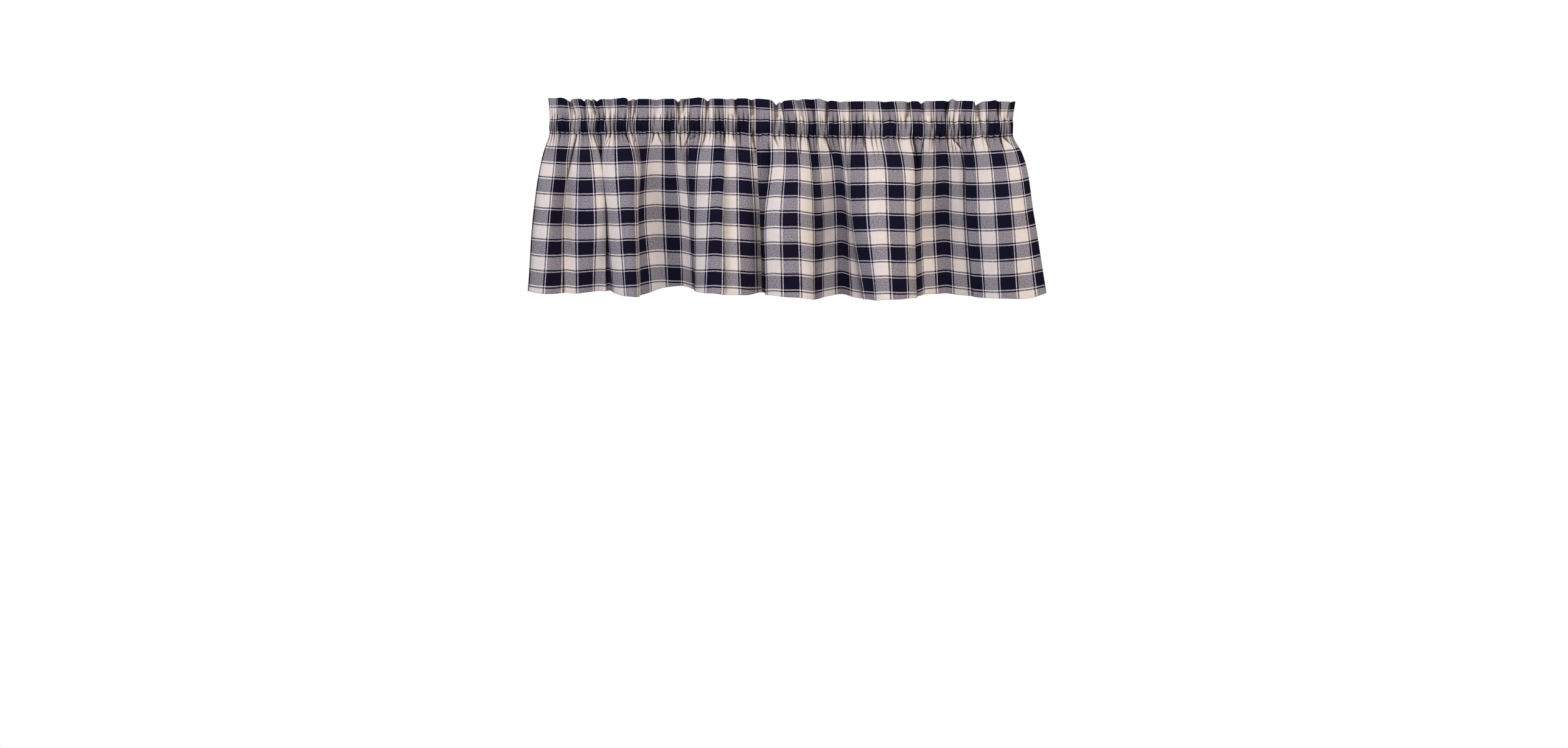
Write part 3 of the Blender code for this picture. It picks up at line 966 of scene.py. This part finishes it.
def make_lights(settings):
    """Broad soft lights around the cloth, all turned to its middle."""
    for light in LIGHTS:
        lamp = bpy.data.lights.new(light.name, "AREA")
        lamp.shape = "DISK"
        lamp.size = LIGHT_SIZE
        lamp.energy = getattr(settings, light.power)
        lamp.color = linear(light.tint)
        holder = bpy.data.objects.new(light.name, lamp)
        holder.location = light.place
        aim = CAD_MIDDLE - Vector(light.place)
        holder.rotation_euler = aim.to_track_quat("-Z", "Y").to_euler()
        bpy.context.scene.collection.objects.link(holder)


def make_surroundings(settings):
    """White surroundings that light the cloth with a cooler, dimmer glow than the camera sees."""
    world = bpy.data.worlds.new("White studio")
    bpy.context.scene.world = world
    world.use_nodes = True
    tree = world.node_tree
    glow = tree.nodes["Background"]
    feed(tree, glow, {"Color": (*linear(SKY_TINT), 1.0), "Strength": settings.sky_strength})
    seen = add_node(tree, "Background", None, {"Color": (1.0, 1.0, 1.0, 1.0), "Strength": 1.0})
    to_camera = add_node(tree, "LightPath").outputs["Is Camera Ray"]
    shown = {0: to_camera, 1: glow.outputs[0], 2: seen.outputs[0]}
    mixed = add_node(tree, "MixShader", None, shown)
    feed(tree, tree.nodes["World Output"], {"Surface": mixed.outputs[0]})


def make_camera(settings):
    """The camera, level with the middle of the cloth, its view shifted down below the hem."""
    camera = bpy.data.cameras.new("camera")
    camera.sensor_width = SENSOR_WIDTH
    camera.lens = SENSOR_WIDTH * settings.camera_distance / settings.view_width
    level = CAD_LOW.z / 2
    camera.shift_y = (VIEW_CENTRE.z - level) / settings.view_width
    camera.clip_start = 0.01
    holder = bpy.data.objects.new("camera", camera)
    holder.location = (VIEW_CENTRE.x, -settings.camera_distance, level)
    holder.rotation_euler = (np.pi / 2, 0.0, 0.0)
    bpy.context.scene.collection.objects.link(holder)
    bpy.context.scene.camera = holder


# ---- Settings, operators and panel ----


class ClothSettings(bpy.types.PropertyGroup):
    navy: bpy.props.FloatVectorProperty(
        name="Navy", description="Colour of the navy yarn",
        subtype="COLOR", min=0, max=1, default=linear(NAVY),
    )
    cream: bpy.props.FloatVectorProperty(
        name="Cream", description="Colour of the cream yarn",
        subtype="COLOR", min=0, max=1, default=linear(CREAM),
    )
    thread_spacing: bpy.props.FloatProperty(
        name="Thread spacing",
        description="Drawn coarser than the cotton's real 0.6 mm, so that the weave shows",
        default=1.3 * MM, unit="LENGTH",
    )
    thread_relief: bpy.props.FloatProperty(
        name="Thread relief", description="Height of the threads", default=0.12 * MM, unit="LENGTH"
    )
    weave_contrast: bpy.props.FloatProperty(
        name="Weave contrast", description="How clearly each crossing shows one thread", default=0.11
    )
    heather: bpy.props.FloatProperty(
        name="Heather", description="How unevenly the two yarns show in the grey blocks", default=1.15
    )
    cloth_thickness: bpy.props.FloatProperty(
        name="Cloth thickness", description="Of one layer", default=0.4 * MM, unit="LENGTH"
    )
    hem_turn: bpy.props.FloatProperty(
        name="Hem", description="Cloth turned up behind the hem", default=25.0 * MM, unit="LENGTH"
    )
    side_turn: bpy.props.FloatProperty(
        name="Side hem", description="Cloth turned in behind each end", default=12.0 * MM, unit="LENGTH"
    )
    seam_allowance: bpy.props.FloatProperty(
        name="Seam allowance", description="Cloth behind the seam on each side",
        default=10.0 * MM, unit="LENGTH",
    )


class StitchSettings(bpy.types.PropertyGroup):
    thread_thickness: bpy.props.FloatProperty(
        name="Thread", description="Thickness of the sewing thread", default=0.45 * MM, unit="LENGTH"
    )
    stitch_length: bpy.props.FloatProperty(
        name="Stitch", description="From one needle hole to the next on the flat cloth",
        default=3.0 * MM, unit="LENGTH",
    )
    topstitch_inset: bpy.props.FloatProperty(
        name="Topstitch", description="From the seam to the row beside it",
        default=5.5 * MM, unit="LENGTH",
    )


class StageSettings(bpy.types.PropertyGroup):
    floor_drop: bpy.props.FloatProperty(
        name="Floor", description="From the hem down to the floor", default=0.85, unit="LENGTH"
    )
    camera_distance: bpy.props.FloatProperty(
        name="Camera distance", description="In front of the rod", default=1.85, unit="LENGTH"
    )
    view_width: bpy.props.FloatProperty(
        name="View width", description="Seen from side to side at the rod", default=2.756, unit="LENGTH"
    )
    key_power: bpy.props.FloatProperty(
        name="Key light", description="Its power", default=58.0, unit="POWER"
    )
    fill_power: bpy.props.FloatProperty(
        name="Fill lights", description="Power of each", default=25.0, unit="POWER"
    )
    back_power: bpy.props.FloatProperty(
        name="Back light", description="Its power", default=60.0, unit="POWER"
    )
    sky_strength: bpy.props.FloatProperty(
        name="Surroundings", description="Their brightness", default=0.03
    )


class VALANCE_OT_widths(bpy.types.Operator):
    """Make the left and the right cloth width"""

    bl_idname = "valance.widths"
    bl_label = "Cloth widths"

    def execute(self, context):
        settings = context.scene.valance_cloth
        cotton = check_cotton(settings)
        for width in (LEFT, RIGHT):
            make_sheet(width, settings, cotton)
        return {"FINISHED"}


class VALANCE_OT_stitching(bpy.types.Operator):
    """Sew the two rows of the rod pocket and the row beside the seam"""

    bl_idname = "valance.stitching"
    bl_label = "Stitching"

    def execute(self, context):
        settings = context.scene.valance_stitches
        step = settings.stitch_length * TO_MM
        thread = sewing_thread("Spun polyester thread", linear(NAVY_THREAD))
        for name, down in (("upper", UPPER_ROW), ("lower", LOWER_ROW)):
            line = along_cloth(down, ROW_INSET, RIGHT_END - ROW_INSET, step)
            stitch_row(f"{name}_pocket_stitches", line, settings, thread)
        inset = settings.topstitch_inset * TO_MM
        hem = fold_values("hem", np.array([SEAM]))[0]
        line = down_cloth(SEAM + inset, ROW_INSET, hem - ROW_INSET, step)
        stitch_row("seam_topstitches", line, settings, thread)
        return {"FINISHED"}


class VALANCE_OT_stage(bpy.types.Operator):
    """Set out the floor, the lights, the surroundings and the camera"""

    bl_idname = "valance.stage"
    bl_label = "Stage"

    def execute(self, context):
        settings = context.scene.valance_stage
        make_floor(settings)
        make_lights(settings)
        make_surroundings(settings)
        make_camera(settings)
        return {"FINISHED"}


class VALANCE_PT_panel(bpy.types.Panel):
    bl_idname = "VALANCE_PT_panel"
    bl_label = "Rod pocket valance"
    bl_space_type = "VIEW_3D"
    bl_region_type = "UI"
    bl_category = "Valance"

    def draw(self, context):
        layout = self.layout
        for operator in OPERATORS:
            layout.operator(operator.bl_idname)
        for group in GROUPS:
            box = layout.box()
            settings = getattr(context.scene, group)
            for name in settings.bl_rna.properties.keys():
                if name not in {"rna_type", "name"}:
                    box.prop(settings, name)


GROUPS = {
    "valance_cloth": ClothSettings,
    "valance_stitches": StitchSettings,
    "valance_stage": StageSettings,
}
OPERATORS = (VALANCE_OT_widths, VALANCE_OT_stitching, VALANCE_OT_stage)
CLASSES = (*GROUPS.values(), *OPERATORS, VALANCE_PT_panel)


def register():
    for cls in CLASSES:
        bpy.utils.register_class(cls)
    for name, group in GROUPS.items():
        setattr(bpy.types.Scene, name, bpy.props.PointerProperty(type=group))


def unregister():
    for name in GROUPS:
        delattr(bpy.types.Scene, name)
    for cls in reversed(CLASSES):
        bpy.utils.unregister_class(cls)


def main():
    register()
    bpy.context.scene.view_settings.view_transform = "Standard"
    bpy.ops.valance.widths()
    bpy.ops.valance.stitching()
    bpy.ops.valance.stage()


if __name__ == "__main__":
    main()
